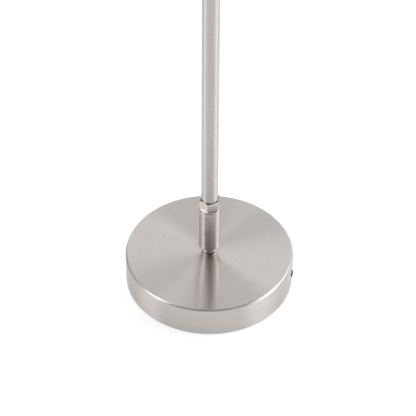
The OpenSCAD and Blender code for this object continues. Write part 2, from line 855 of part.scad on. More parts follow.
base_cover();
base_weight();
base_plate();
foot_pads();
plate_screws();
cord_gland();
terminal_block();
terminal_screws();
base_wire();
base_stud();
stud_washer();
stud_nut();
foot_washer();
neck_ring();
neck_spacer();
clamp_sleeve();
clamp_collet();
lock_nut();
slip_plug();
lower_tube();
tube_coupler();
joint_ring();
middle_tube();
middle_plug();
lower_wire();
dimmer_housing();
housing_cap();
housing_nuts();
dimmer_module();
bushing_nut();
dimmer_shaft();
dimmer_knob();
upper_plug();
upper_tube();
upper_wire();
head_plug();
head_collar();
set_screw();
nipple();
glass_holder();
holder_washer();
holder_nut();
glass_gasket();
socket_body();
socket_liner();
socket_contact();
glass_bowl();
bulb_cap();
bulb_globe();
bulb_contact();
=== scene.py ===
"""Torchiere floor lamp: finishes, camera, light and the turned pieces that show."""

import math

import bmesh
import bpy
import mathutils
import numpy as np
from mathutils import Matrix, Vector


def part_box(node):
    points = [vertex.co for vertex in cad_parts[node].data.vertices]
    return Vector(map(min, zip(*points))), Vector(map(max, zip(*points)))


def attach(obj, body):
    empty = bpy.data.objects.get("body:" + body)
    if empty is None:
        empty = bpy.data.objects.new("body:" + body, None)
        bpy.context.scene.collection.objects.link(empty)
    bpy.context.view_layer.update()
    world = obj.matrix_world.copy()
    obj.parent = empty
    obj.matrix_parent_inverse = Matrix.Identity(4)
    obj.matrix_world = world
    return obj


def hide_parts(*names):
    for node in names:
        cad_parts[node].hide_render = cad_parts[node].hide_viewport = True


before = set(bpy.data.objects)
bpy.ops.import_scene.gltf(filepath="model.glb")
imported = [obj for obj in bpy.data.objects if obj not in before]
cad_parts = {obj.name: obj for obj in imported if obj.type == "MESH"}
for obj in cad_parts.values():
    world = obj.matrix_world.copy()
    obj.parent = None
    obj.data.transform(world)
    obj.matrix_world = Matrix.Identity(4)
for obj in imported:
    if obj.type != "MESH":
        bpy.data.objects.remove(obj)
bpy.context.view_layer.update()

MM = 0.001
TAU = 2 * math.pi
SIDES = 128
# Direction of the main view, measured round the pole from -Y towards +X
VIEW_AZIMUTH = math.radians(10)


# ---------------------------------------------------------------- sizes from the frame

def turned_size(node):
    """(radius, lowest z, highest z) of a node that is turned about the pole's axis."""
    low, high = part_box(node)
    return (high[1] - low[1]) / 2, low[2], high[2]


# ---------------------------------------------------------------- meshes

def grid_faces(rows, columns, closed_rows):
    """Quads between neighbouring points of a grid whose columns close on themselves."""
    row = np.arange(rows if closed_rows else rows - 1)[:, None]
    column = np.arange(columns)[None, :]
    following = (column + 1) % columns
    above = (row + 1) % rows
    corners = (row * columns + column, row * columns + following,
               above * columns + following, above * columns + column)
    return np.stack(np.broadcast_arrays(*corners), axis=-1).reshape(-1, 4)


def add_piece(name, points, faces, body, material, nodes=(), crease=38.0):
    """A closed mesh from arrays of points and faces. Doubled points are merged and faces point out."""
    mesh = bpy.data.meshes.new(name)
    mesh.from_pydata(points.tolist(), [], faces.tolist())
    work = bmesh.new()
    work.from_mesh(mesh)
    bmesh.ops.remove_doubles(work, verts=work.verts, dist=1e-7)
    bmesh.ops.dissolve_degenerate(work, edges=work.edges, dist=1e-8)
    bmesh.ops.recalc_face_normals(work, faces=work.faces)
    work.to_mesh(mesh)
    work.free()
    mesh.polygons.foreach_set("use_smooth", np.ones(len(mesh.polygons), dtype=bool))
    mesh.set_sharp_from_angle(angle=math.radians(crease))
    piece = bpy.data.objects.new(name, mesh)
    bpy.context.scene.collection.objects.link(piece)
    mesh.materials.append(material)
    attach(piece, body)
    if nodes:
        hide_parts(*nodes)
    return piece


def rounded(corners, closed=True, steps=6):
    """Profile through (radius, height, rounding) corners.

    A corner with a rounding becomes an arc tangent to its two sides. A further point on
    each side, close to the arc, keeps the side flat in smooth shading.
    """
    places = np.array([corner[:2] for corner in corners], dtype=float)
    count = len(corners)
    points = []
    for i, (place, rounding) in enumerate(zip(places, [corner[2] for corner in corners])):
        at_end = not closed and i in (0, count - 1)
        if rounding <= 0 or at_end:
            points.append(place)
            continue
        back = places[i - 1] - place
        ahead = places[(i + 1) % count] - place
        room = min(np.linalg.norm(back), np.linalg.norm(ahead))
        back, ahead = back / np.linalg.norm(back), ahead / np.linalg.norm(ahead)
        half = math.acos(np.clip(back @ ahead, -1, 1)) / 2
        reach = rounding / math.tan(half)
        centre = place + (back + ahead) / np.linalg.norm(back + ahead) * rounding / math.sin(half)
        support = min(0.3 * rounding, 0.3 * max(room - reach, 0))
        start, end = place + back * reach - centre, place + ahead * reach - centre
        sweep = math.acos(np.clip(start @ end / rounding ** 2, -1, 1))
        share = np.linspace(0, 1, steps + 1)[:, None]
        arc = (np.sin((1 - share) * sweep) * start + np.sin(share * sweep) * end) / math.sin(sweep)
        points.append(place + back * (reach + support))
        points.extend(centre + arc)
        points.append(place + ahead * (reach + support))
    return np.array(points)


def upright(points):
    """Leaves a shape that is turned about the pole's axis as it is."""
    return points


def turned_mesh(profile, sides, closed):
    """Points and faces of a profile of (radius, height) swept round z: x = r cos t, y = r sin t."""
    angle = np.arange(sides) * TAU / sides
    radius, height = profile[:, 0:1], profile[:, 1:2]
    points = np.stack([radius * np.cos(angle), radius * np.sin(angle),
                       height + 0 * angle], axis=-1).reshape(-1, 3)
    return points, grid_faces(len(profile), sides, closed)


def turned(name, profile, body, material, nodes=(), sides=SIDES, place=upright, closed=True):
    """A piece whose profile is swept round the pole's axis, or round another one through place."""
    points, faces = turned_mesh(profile, sides, closed)
    return add_piece(name, place(points), faces, body, material, nodes)


def repeated(points, faces, circle, start):
    """Four copies of a mesh on a circle, the first at the start angle in degrees."""
    angles = np.radians(start + 90 * np.arange(4))
    moves = [(circle * math.cos(a), circle * math.sin(a), 0) for a in angles]
    return (np.concatenate([points + move for move in moves]),
            np.concatenate([faces + i * len(points) for i in range(4)]))


def ring_profile(outer, inner, low, high, edge):
    """Profile of a plain tube or washer with slightly rounded edges."""
    return rounded([(inner, low, edge), (outer, low, edge), (outer, high, edge), (inner, high, edge)])


def shaped(name, radii, heights, body, material, nodes=(), crease=38.0):
    """Rings whose radius changes round the axis: row i is radii[i] at heights[i], rows closed."""
    sides = radii.shape[1]
    angle = np.arange(sides) * TAU / sides
    points = np.stack([radii * np.cos(angle), radii * np.sin(angle),
                       heights[:, None] + 0 * radii], axis=-1).reshape(-1, 3)
    faces = grid_faces(len(radii), sides, True)
    return add_piece(name, points, faces, body, material, nodes, crease)


# ---------------------------------------------------------------- shader helpers

def set_inputs(node, values):
    """Sets a node's unlinked inputs by name."""
    for key, value in values.items():
        node.inputs[key].default_value = value


def add_node(tree, kind, inputs=None, **settings):
    """A new node with its settings and the values of its inputs."""
    node = tree.nodes.new(kind)
    for key, value in settings.items():
        setattr(node, key, value)
    set_inputs(node, inputs or {})
    return node


def math_node(tree, operation, first, second=None):
    """A Math node between sockets or numbers; gives back its output socket."""
    node = add_node(tree, "ShaderNodeMath", operation=operation)
    for socket, value in zip(node.inputs, (first, second)):
        if value is None:
            continue
        if isinstance(value, (int, float)):
            socket.default_value = value
        else:
            tree.links.new(value, socket)
    return node.outputs[0]


def remap(tree, value, low, high):
    """The value's range 0 to 1 stretched to low to high."""
    node = add_node(tree, "ShaderNodeMapRange", {"To Min": low, "To Max": high})
    tree.links.new(value, node.inputs["Value"])
    return node.outputs["Result"]


def ramp(tree, value, stops):
    """A colour ramp over (position, colour) stops; gives back its colour socket."""
    node = add_node(tree, "ShaderNodeValToRGB")
    elements = node.color_ramp.elements
    while len(elements) < len(stops):
        elements.new(0.5)
    for element, (position, colour) in zip(elements, stops):
        element.position = position
        element.color = (*colour, 1)
    tree.links.new(value, node.inputs["Fac"])
    return node.outputs["Color"]


def new_group(name, inputs, outputs):
    """An empty shader group with float or vector inputs and float outputs."""
    group = bpy.data.node_groups.new(name, "ShaderNodeTree")
    for label, kind, value in inputs:
        socket = group.interface.new_socket(label, in_out="INPUT", socket_type=kind)
        if value is not None:
            socket.default_value = value
    for label in outputs:
        group.interface.new_socket(label, in_out="OUTPUT", socket_type="NodeSocketFloat")
    return group, group.nodes.new("NodeGroupInput"), group.nodes.new("NodeGroupOutput")


def make_spun_lines():
    """Group: fine lines that run round the z axis.

    Noise is read at (radius, height) times the fineness, and at the direction from the
    axis times a small number, so it changes fast across the lines and slowly along them.
    """
    group, given, made = new_group(
        "spun_lines",
        [("Vector", "NodeSocketVector", None), ("Lines Per Metre", "NodeSocketFloat", 2000.0),
         ("Change Along", "NodeSocketFloat", 2.0)],
        ["Lines"])
    split = add_node(group, "ShaderNodeSeparateXYZ")
    group.links.new(given.outputs["Vector"], split.inputs[0])
    across = math_node(group, "POWER", split.outputs["X"], 2.0)
    deep = math_node(group, "POWER", split.outputs["Y"], 2.0)
    radius = math_node(group, "SQRT", math_node(group, "ADD", across, deep))
    safe = math_node(group, "MAXIMUM", radius, 0.0005)
    lines = given.outputs["Lines Per Metre"]
    along = given.outputs["Change Along"]
    join = add_node(group, "ShaderNodeCombineXYZ")
    group.links.new(math_node(group, "MULTIPLY", radius, lines), join.inputs["X"])
    for axis in ("X", "Y"):
        part = math_node(group, "DIVIDE", split.outputs[axis], safe)
        target = join.inputs["Y" if axis == "X" else "Z"]
        group.links.new(math_node(group, "MULTIPLY", part, along), target)
    noise = add_node(group, "ShaderNodeTexNoise", {"Scale": 1.0, "Detail": 3.0, "Roughness": 0.6},
                     noise_dimensions="4D")
    group.links.new(join.outputs[0], noise.inputs["Vector"])
    group.links.new(math_node(group, "MULTIPLY", split.outputs["Z"], lines), noise.inputs["W"])
    group.links.new(noise.outputs["Fac"], made.inputs["Lines"])
    return group


def make_soft_patches():
    """Group: slow, soft patches, as handling and polishing leave them."""
    group, given, made = new_group(
        "soft_patches",
        [("Vector", "NodeSocketVector", None), ("Patches Per Metre", "NodeSocketFloat", 12.0)],
        ["Patches"])
    noise = add_node(group, "ShaderNodeTexNoise", {"Detail": 2.0, "Roughness": 0.5, "Distortion": 0.4})
    group.links.new(given.outputs["Vector"], noise.inputs["Vector"])
    group.links.new(given.outputs["Patches Per Metre"], noise.inputs["Scale"])
    group.links.new(noise.outputs["Fac"], made.inputs["Patches"])
    return group


def make_grain():
    """Group: a fine even grain, as on moulded, cast or etched surfaces."""
    group, given, made = new_group(
        "fine_grain",
        [("Vector", "NodeSocketVector", None), ("Grains Per Metre", "NodeSocketFloat", 1500.0)],
        ["Grain"])
    noise = add_node(group, "ShaderNodeTexNoise", {"Detail": 4.0, "Roughness": 0.65})
    group.links.new(given.outputs["Vector"], noise.inputs["Vector"])
    group.links.new(given.outputs["Grains Per Metre"], noise.inputs["Scale"])
    group.links.new(noise.outputs["Fac"], made.inputs["Grain"])
    return group


SPUN_LINES = make_spun_lines()
SOFT_PATCHES = make_soft_patches()
FINE_GRAIN = make_grain()


def new_material(name, values):
    """A material with one Principled shader; gives back the material, its tree and the shader."""
    material = bpy.data.materials.new(name)
    material.use_nodes = True
    tree = material.node_tree
    shader = tree.nodes["Principled BSDF"]
    set_inputs(shader, values)
    return material, tree, shader


def object_vector(tree):
    """Object coordinates, in which every pattern is laid out."""
    return add_node(tree, "ShaderNodeTexCoord").outputs["Object"]


def use_group(tree, group, vector, **values):
    """Places a group on a vector; gives back its first output."""
    node = add_node(tree, "ShaderNodeGroup")
    node.node_tree = group
    tree.links.new(vector, node.inputs["Vector"])
    for label, value in values.items():
        node.inputs[label.replace("_", " ")].default_value = value
    return node.outputs[0]


def add_bump(tree, shader, height, depth):
    """Bump of that depth in metres under the shader's normal."""
    bump = add_node(tree, "ShaderNodeBump", {"Strength": 1.0, "Distance": depth})
    tree.links.new(height, bump.inputs["Height"])
    tree.links.new(bump.outputs[0], shader.inputs["Normal"])


def add_tangent(tree, shader):
    """Tangent that runs round the pole's axis: z crossed with the place, turned to the world."""
    coordinates = add_node(tree, "ShaderNodeTexCoord").outputs["Object"]
    cross = add_node(tree, "ShaderNodeVectorMath", operation="CROSS_PRODUCT")
    cross.inputs[0].default_value = (0, 0, 1)
    tree.links.new(coordinates, cross.inputs[1])
    world = add_node(tree, "ShaderNodeVectorTransform", vector_type="VECTOR",
                     convert_from="OBJECT", convert_to="WORLD")
    tree.links.new(cross.outputs[0], world.inputs[0])
    unit = add_node(tree, "ShaderNodeVectorMath", operation="NORMALIZE")
    tree.links.new(world.outputs[0], unit.inputs[0])
    tree.links.new(unit.outputs[0], shader.inputs["Tangent"])


# ---------------------------------------------------------------- finishes

def satin_nickel(name, groove_turn, gloss=0.33):
    """Nickel plate brushed round its axis: grooves spread the reflection across themselves."""
    lines = 2600.0
    material, tree, shader = new_material(name, {"Metallic": 1.0, "Anisotropic": 1.0})
    vector = object_vector(tree)
    fine = use_group(tree, SPUN_LINES, vector, Lines_Per_Metre=lines, Change_Along=2.0)
    broad = use_group(tree, SPUN_LINES, vector, Lines_Per_Metre=lines / 9, Change_Along=0.8)
    patches = use_group(tree, SOFT_PATCHES, vector, Patches_Per_Metre=9.0)
    mixed = math_node(tree, "ADD", math_node(tree, "MULTIPLY", fine, 0.72),
                      math_node(tree, "MULTIPLY", broad, 0.28))
    colour = ramp(tree, mixed, [(0.30, (0.617, 0.578, 0.552)), (0.70, (0.719, 0.678, 0.650))])
    tree.links.new(colour, shader.inputs["Base Color"])
    rough = math_node(tree, "ADD", remap(tree, mixed, gloss - 0.035, gloss + 0.035),
                      remap(tree, patches, -0.02, 0.02))
    tree.links.new(rough, shader.inputs["Roughness"])
    shader.inputs["Anisotropic Rotation"].default_value = 0.25 + groove_turn / 360
    add_tangent(tree, shader)
    add_bump(tree, shader, mixed, 0.012 * MM)
    return material


def polished_nickel(name, gloss=0.06):
    """Nickel plate polished to a mirror, with the faint waves and haze of a buffed part."""
    material, tree, shader = new_material(name, {"Metallic": 1.0})
    vector = object_vector(tree)
    patches = use_group(tree, SOFT_PATCHES, vector, Patches_Per_Metre=60.0)
    lines = use_group(tree, SPUN_LINES, vector, Lines_Per_Metre=3200.0, Change_Along=1.0)
    colour = ramp(tree, patches, [(0.3, (0.665, 0.645, 0.62)), (0.7, (0.70, 0.68, 0.655))])
    tree.links.new(colour, shader.inputs["Base Color"])
    tree.links.new(remap(tree, lines, gloss, gloss + 0.05), shader.inputs["Roughness"])
    add_bump(tree, shader, patches, 0.006 * MM)
    return material


def zinc_plate():
    """Bright zinc on hidden fasteners, with the faint patches of the plating bath."""
    material, tree, shader = new_material("zinc_plate", {"Metallic": 1.0})
    vector = object_vector(tree)
    patches = use_group(tree, SOFT_PATCHES, vector, Patches_Per_Metre=140.0)
    grain = use_group(tree, FINE_GRAIN, vector, Grains_Per_Metre=2500.0)
    colour = ramp(tree, patches, [(0.3, (0.50, 0.51, 0.52)), (0.7, (0.64, 0.64, 0.61))])
    tree.links.new(colour, shader.inputs["Base Color"])
    tree.links.new(remap(tree, patches, 0.22, 0.42), shader.inputs["Roughness"])
    add_bump(tree, shader, grain, 0.01 * MM)
    return material


def bright_brass():
    """Brass of the contacts and the screw shell, a little dulled in patches."""
    material, tree, shader = new_material("bright_brass", {"Metallic": 1.0})
    vector = object_vector(tree)
    patches = use_group(tree, SOFT_PATCHES, vector, Patches_Per_Metre=160.0)
    colour = ramp(tree, patches, [(0.3, (0.62, 0.44, 0.19)), (0.7, (0.80, 0.60, 0.29))])
    tree.links.new(colour, shader.inputs["Base Color"])
    tree.links.new(remap(tree, patches, 0.2, 0.38), shader.inputs["Roughness"])
    add_bump(tree, shader, patches, 0.01 * MM)
    return material


def grained(name, dark, light, rough, grains, depth, metallic=0.0, **values):
    """A moulded, cast or painted surface: colour in soft patches over a fine grain."""
    settings = {"Metallic": metallic}
    settings.update({key.replace("_", " "): value for key, value in values.items()})
    material, tree, shader = new_material(name, settings)
    vector = object_vector(tree)
    patches = use_group(tree, SOFT_PATCHES, vector, Patches_Per_Metre=40.0)
    grain = use_group(tree, FINE_GRAIN, vector, Grains_Per_Metre=grains)
    mixed = math_node(tree, "ADD", math_node(tree, "MULTIPLY", patches, 0.5),
                      math_node(tree, "MULTIPLY", grain, 0.5))
    tree.links.new(ramp(tree, mixed, [(0.3, dark), (0.7, light)]), shader.inputs["Base Color"])
    tree.links.new(remap(tree, mixed, rough - 0.06, rough + 0.06), shader.inputs["Roughness"])
    add_bump(tree, shader, grain, depth)
    return material


def opal_glass():
    """Etched opal glass: white, softly lit through, with a fine satin grain."""
    material, tree, shader = new_material("opal_glass", {
        "Metallic": 0.0, "IOR": 1.5, "Subsurface Weight": 0.6,
        "Subsurface Radius": (1.0, 0.9, 0.8), "Subsurface Scale": 0.012})
    vector = object_vector(tree)
    patches = use_group(tree, SOFT_PATCHES, vector, Patches_Per_Metre=7.0)
    grain = use_group(tree, FINE_GRAIN, vector, Grains_Per_Metre=2200.0)
    colour = ramp(tree, patches, [(0.25, (0.86, 0.85, 0.82)), (0.75, (0.91, 0.905, 0.885))])
    tree.links.new(colour, shader.inputs["Base Color"])
    tree.links.new(remap(tree, grain, 0.26, 0.4), shader.inputs["Roughness"])
    add_bump(tree, shader, grain, 0.008 * MM)
    return material


BASE_NICKEL = satin_nickel("satin_nickel_base", groove_turn=-6.0, gloss=0.29)
POLE_NICKEL = satin_nickel("satin_nickel_pole", groove_turn=0.0)
SLEEVE_NICKEL = satin_nickel("satin_nickel_sleeve", groove_turn=0.0, gloss=0.2)
MIRROR_NICKEL = polished_nickel("polished_nickel")
NUT_NICKEL = polished_nickel("polished_nickel_nut", gloss=0.14)
ZINC = zinc_plate()
BRASS = bright_brass()
OPAL = opal_glass()
BULB_GLASS = grained("bulb_glass", (0.86, 0.86, 0.84), (0.92, 0.92, 0.90), 0.3, 1800.0, 0.004 * MM,
                     Subsurface_Weight=0.3, Subsurface_Scale=0.006)
CAST_IRON = grained("cast_iron", (0.07, 0.07, 0.07), (0.15, 0.15, 0.145), 0.75, 500.0, 0.2 * MM,
                    metallic=0.6)
BLACK_PAINT = grained("black_paint", (0.018, 0.018, 0.018), (0.035, 0.035, 0.035), 0.5, 1400.0, 0.03 * MM)
RUBBER = grained("black_rubber", (0.016, 0.016, 0.017), (0.03, 0.03, 0.03), 0.72, 1500.0, 0.02 * MM)
NYLON = grained("nylon", (0.78, 0.76, 0.69), (0.86, 0.84, 0.77), 0.45, 900.0, 0.01 * MM,
                Subsurface_Weight=0.2, Subsurface_Scale=0.004)
WHITE_PLASTIC = grained("white_plastic", (0.78, 0.78, 0.76), (0.86, 0.86, 0.84), 0.4, 1100.0, 0.01 * MM)
BLUE_PLASTIC = grained("blue_plastic", (0.02, 0.035, 0.11), (0.035, 0.06, 0.17), 0.42, 1100.0, 0.01 * MM)
CABLE = grained("cable", (0.015, 0.015, 0.015), (0.03, 0.03, 0.03), 0.4, 900.0, 0.01 * MM)
PORCELAIN = grained("porcelain", (0.84, 0.83, 0.79), (0.90, 0.89, 0.86), 0.14, 500.0, 0.004 * MM,
                    Coat_Weight=0.6)
SILICONE = grained("silicone", (0.76, 0.76, 0.75), (0.84, 0.84, 0.83), 0.55, 1300.0, 0.015 * MM)
CAP_METAL = grained("cap_metal", (0.66, 0.66, 0.67), (0.78, 0.78, 0.78), 0.25, 900.0, 0.006 * MM,
                    metallic=1.0)


# ---------------------------------------------------------------- base

def make_base_cover():
    """Pressed cover: flat top, rounded edge, straight wall, and an inlet hole in the wall."""
    radius, low, high = turned_size("base_cover")
    sheet, edge, hole = 1.5 * MM, 3.8 * MM, 6.05 * MM
    inner = radius - sheet
    profile = rounded([
        (inner, low, 0.2 * MM), (radius, low, 0.35 * MM), (radius, high, edge), (hole, high, 0),
        (hole, high - sheet, 0), (inner, high - sheet, edge - sheet)], steps=14)
    cover = turned("base_cover_finish", profile, "base", BASE_NICKEL,
                   ["base_cover"], sides=256)
    gland_low, gland_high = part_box("cord_gland")
    cut_hole(cover, (0, (gland_low[2] + gland_high[2]) / 2), radius - 5 * MM, radius + 5 * MM, 4.2 * MM)
    return cover


def cut_hole(piece, centre, start, end, radius):
    """Drills a round hole along +X at the (y, z) centre, with a Boolean that is applied at once."""
    sides = 48
    angle = np.arange(sides) * TAU / sides
    ring = np.stack([0 * angle, centre[0] + radius * np.cos(angle), centre[1] + radius * np.sin(angle)], -1)
    drill = bpy.data.meshes.new("drill")
    points = np.concatenate([ring + (start, 0, 0), ring + (end, 0, 0)])
    side = grid_faces(2, sides, False).tolist()
    ends = [list(range(sides - 1, -1, -1)), list(range(sides, 2 * sides))]
    drill.from_pydata(points.tolist(), [], side + ends)
    cutter = bpy.data.objects.new("drill", drill)
    bpy.context.scene.collection.objects.link(cutter)
    boolean = piece.modifiers.new("hole", "BOOLEAN")
    boolean.operation, boolean.object, boolean.solver = "DIFFERENCE", cutter, "EXACT"
    graph = bpy.context.evaluated_depsgraph_get()
    cut = bpy.data.meshes.new_from_object(piece.evaluated_get(graph))
    piece.modifiers.clear()
    piece.data = cut
    cut.set_sharp_from_angle(angle=math.radians(38))
    bpy.data.objects.remove(cutter)
    bpy.data.meshes.remove(drill)


def make_gland():
    """Rubber gland turned about +X, with rounded flanges on both sides of the wall."""
    low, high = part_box("cord_gland")
    centre_z = (low[2] + high[2]) / 2
    flange, neck, bore = (high[1] - low[1]) / 2, 4.15 * MM, 3.3 * MM
    flange_t = 1.4 * MM
    profile = rounded([
        (bore, low[0], 0.3 * MM), (flange, low[0], 0.5 * MM), (flange, low[0] + flange_t, 0.2 * MM),
        (neck, low[0] + flange_t, 0), (neck, high[0] - flange_t, 0),
        (flange, high[0] - flange_t, 0.2 * MM), (flange, high[0], 0.7 * MM), (bore, high[0], 0.4 * MM)])

    def along_x(points):
        """Lays a shape made along z along +X, at the inlet's height."""
        return np.stack([points[:, 2], points[:, 1], centre_z - points[:, 0]], axis=-1)

    turned("cord_gland_finish", profile, "base", RUBBER, ["cord_gland"],
           sides=64, place=along_x)


def make_underside():
    """Closing plate with pressed rings."""
    radius, low, high = turned_size("base_plate")
    groove, width = 0.5 * MM, 3 * MM
    corners = [(0, high, 0), (radius, high, 0.2 * MM), (radius, low, 0.6 * MM)]
    for ring in (118 * MM, 66 * MM, 30 * MM):
        corners += [(ring + width, low, 0.5 * MM), (ring + width / 2, low + groove, 0.5 * MM),
                    (ring - width / 2, low + groove, 0.5 * MM), (ring - width, low, 0.5 * MM)]
    corners.append((0, low, 0))
    turned("base_plate_finish", rounded(corners, closed=False, steps=3), "base",
           BLACK_PAINT, ["base_plate"], closed=False)


def hexagon(half_flat, angle):
    """Distance from the centre to a hexagon's side, with a corner at angle 0."""
    within = np.mod(angle, TAU / 6) - TAU / 12
    return half_flat / np.cos(within)


def make_pads():
    """Four rubber pads with soft edges and a dished middle."""
    low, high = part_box("foot_pads")
    bottom, top, radius = low[2], high[2], 11 * MM
    profile = rounded([(0, bottom + 0.4 * MM, 0), (6 * MM, bottom + 0.4 * MM, 0.4 * MM),
                       (7 * MM, bottom, 0.5 * MM), (radius, bottom, 0.45 * MM),
                       (radius, top, 0.15 * MM), (0, top, 0)], closed=False)
    points, faces = repeated(*turned_mesh(profile, 64, False), 104 * MM, 45)
    add_piece("foot_pads_finish", points, faces, "base", RUBBER, ["foot_pads"])


def make_plate_screws():
    """Four countersunk screws, each with a hexagonal socket: rings whose radius changes round."""
    low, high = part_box("plate_screws")
    bottom, top, head, shank = low[2], high[2], 4 * MM, 2 * MM
    sides = 48
    angle = np.arange(sides) * TAU / sides
    socket = hexagon(1.25 * MM, angle)
    rows = [(0 * angle, 1.3), (socket, 1.3), (socket, 0.15), (socket + 0.15 * MM, 0), (0 * angle + head, 0),
            (0 * angle + head, 0.12), (0 * angle + shank, 2)]
    for turn in range(9):
        rows += [(0 * angle + shank, 2.4 + turn), (0 * angle + shank - 0.35 * MM, 2.9 + turn)]
    rows += [(0 * angle + shank - 0.6 * MM, (top - bottom) / MM), (0 * angle, (top - bottom) / MM)]
    points = np.stack([np.stack([radii * np.cos(angle), radii * np.sin(angle),
                                 bottom + height * MM + 0 * angle], -1) for radii, height in rows])
    points, faces = repeated(points.reshape(-1, 3), grid_faces(len(rows), sides, False), 84 * MM, 0)
    add_piece("plate_screws_finish", points, faces, "base", ZINC, ["plate_screws"])


# ---------------------------------------------------------------- clamp

def make_lock_nut():
    """Round flange, hexagon with cut corners and a hexagonal recess, as rings of changing radius."""
    radius, low, high = turned_size("lock_nut")
    flange_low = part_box("clamp_sleeve")[1][2] + 0.3 * MM
    flange_high = flange_low + 3 * MM
    skirt, bore, corner, bevel = 14.3 * MM, 12.8 * MM, 15.9 * MM, 0.8 * MM
    corner_cut = 0.5 * MM  # leaves a wall between the cut corner and the recess's corner
    half_flat, half_recess, recess = 14.0 * MM, 13.0 * MM, 8.0 * MM
    soft = 0.25 * MM
    sides = 720
    angle = np.arange(sides) * TAU / sides + TAU / 4
    flat = hexagon(half_flat, angle)
    inner_hex = hexagon(half_recess, angle)
    rows = []

    def row(radii, height):
        """One ring of the nut at one height."""
        rows.append((np.broadcast_to(radii, (sides,)).astype(float), height))

    def edge(radii, height, out, up, start, end):
        """A rounded edge: quarter circle of the soft radius in (out, up) from start to end degrees."""
        for step in np.linspace(math.radians(start), math.radians(end), 5):
            row(radii + out * soft * (math.cos(step) - 1), height + up * soft * (math.sin(step) - 1))

    edge(skirt, low, 1, -1, 90, 0)
    row(skirt, flange_low)
    edge(radius, flange_low, 1, -1, 90, 0)
    row(radius, flange_low + 0.8 * MM)
    row(radius, flange_high - 0.8 * MM)
    edge(radius, flange_high, 1, 1, 0, 90)
    hex_top = high - bevel
    row(np.minimum(flat, corner), flange_high + 0.02 * MM)
    for height in (flange_high + 0.3 * MM, (flange_high + high) / 2, hex_top - 0.3 * MM):
        row(np.minimum(flat, corner), height)
    for share in np.linspace(0, 1, 12):
        row(np.minimum(flat, corner - share * corner_cut), hex_top + share * (bevel - 0.12 * MM))
    top_out = np.minimum(flat, corner - corner_cut)
    row(top_out - 0.12 * MM, high)
    row(inner_hex + 0.08 * MM, high)
    row(inner_hex, high - 0.08 * MM)
    row(inner_hex, high - recess)
    row(bore, high - recess)
    row(bore, low)
    radii = np.array([item[0] for item in rows])
    heights = np.array([item[1] for item in rows])
    shaped("lock_nut_finish", radii, heights, "nut", NUT_NICKEL,
           ["lock_nut"], crease=24.0)


def make_clamp():
    """Neck, sleeve and lock nut between the base and the pole."""
    for node, edge, slot, material in (("foot_washer", 0.4, "polished_nickel", MIRROR_NICKEL),
                                       ("neck_ring", 0.8, "black_rubber", RUBBER),
                                       ("neck_spacer", 0.5, "polished_nickel", MIRROR_NICKEL)):
        radius, low, high = turned_size(node)
        turned(node + "_finish", ring_profile(radius, 6.1 * MM, low, high, edge * MM), "base",
               material, [node])
    radius, low, high = turned_size("clamp_sleeve")
    counter, guide, stud, bevel = 14.4 * MM, 12.6 * MM, 6.0 * MM, 1.5 * MM
    floor_top, seat = low + 8 * MM, high - 26 * MM
    profile = rounded([
        (stud, low, 0), (radius - bevel, low, 0.5 * MM), (radius, low + bevel, 0.9 * MM),
        (radius, high, 0.3 * MM), (counter, high, 0.2 * MM), (counter, seat, 0),
        (guide, seat - 1.8 * MM, 0), (guide, floor_top, 0), (stud, floor_top, 0)])
    turned("clamp_sleeve_finish", profile, "base", SLEEVE_NICKEL,
           ["clamp_sleeve"], sides=160)
    make_lock_nut()


# ---------------------------------------------------------------- pole

def make_pole():
    """Three satin tubes with a polished ring at the joint."""
    for node in ("lower_tube", "middle_tube", "upper_tube"):
        radius, low, high = turned_size(node)
        profile = ring_profile(radius, radius - 1.5 * MM, low, high, 0.3 * MM)
        turned(node + "_finish", profile, "pole", POLE_NICKEL, [node], sides=160)
    radius, low, high = turned_size("joint_ring")
    turned("joint_ring_finish", ring_profile(radius, 11 * MM, low, high, 0.5 * MM), "pole",
           MIRROR_NICKEL, ["joint_ring"])


def towards_front(points):
    """Turns a shape made along z so that it points along -Y at the dimmer's height."""
    low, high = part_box("dimmer_shaft")
    return np.stack([points[:, 0], -points[:, 2], points[:, 1] + (low[2] + high[2]) / 2], axis=-1)


def make_pad(radius, reach, wall):
    """Round pad on the housing's curved wall.

    Rows run from the wall out to the face. On the wall the depth is sqrt(wall^2 - x^2), and a
    quarter circle of fillet blends that depth into the pad's straight side.
    """
    sides, fillet, edge = 128, 1.2 * MM, 0.4 * MM
    angle = np.arange(sides) * TAU / sides
    rows = []
    for step in np.linspace(0, TAU / 4, 9):
        ring = radius + fillet * (1 - math.sin(step))
        lift = fillet * (1 - math.cos(step))
        depth = np.sqrt(wall ** 2 - np.minimum(np.abs(ring * np.cos(angle)), wall * 0.999) ** 2)
        depth = np.minimum(depth + lift, reach - edge)
        rows.append(np.stack([ring * np.cos(angle), ring * np.sin(angle), depth], -1))
    for step in np.linspace(0, TAU / 4, 6):
        ring = radius - edge * (1 - math.cos(step))
        rows.append(np.stack([ring * np.cos(angle), ring * np.sin(angle),
                              reach - edge + edge * math.sin(step) + 0 * angle], -1))
    bore = 3.6 * MM
    rows.append(np.stack([bore * np.cos(angle), bore * np.sin(angle), reach + 0 * angle], -1))
    rows.append(np.stack([bore * np.cos(angle), bore * np.sin(angle), wall * 0.6 + 0 * angle], -1))
    inner = (radius + fillet) * 0.98
    depth = np.sqrt(wall ** 2 - (inner * np.cos(angle)) ** 2) - 1.0 * MM
    rows.append(np.stack([inner * np.cos(angle), inner * np.sin(angle), depth], -1))
    points = np.concatenate(rows)
    add_piece("dimmer_pad", towards_front(points), grid_faces(len(rows), sides, True), "pole",
              POLE_NICKEL)


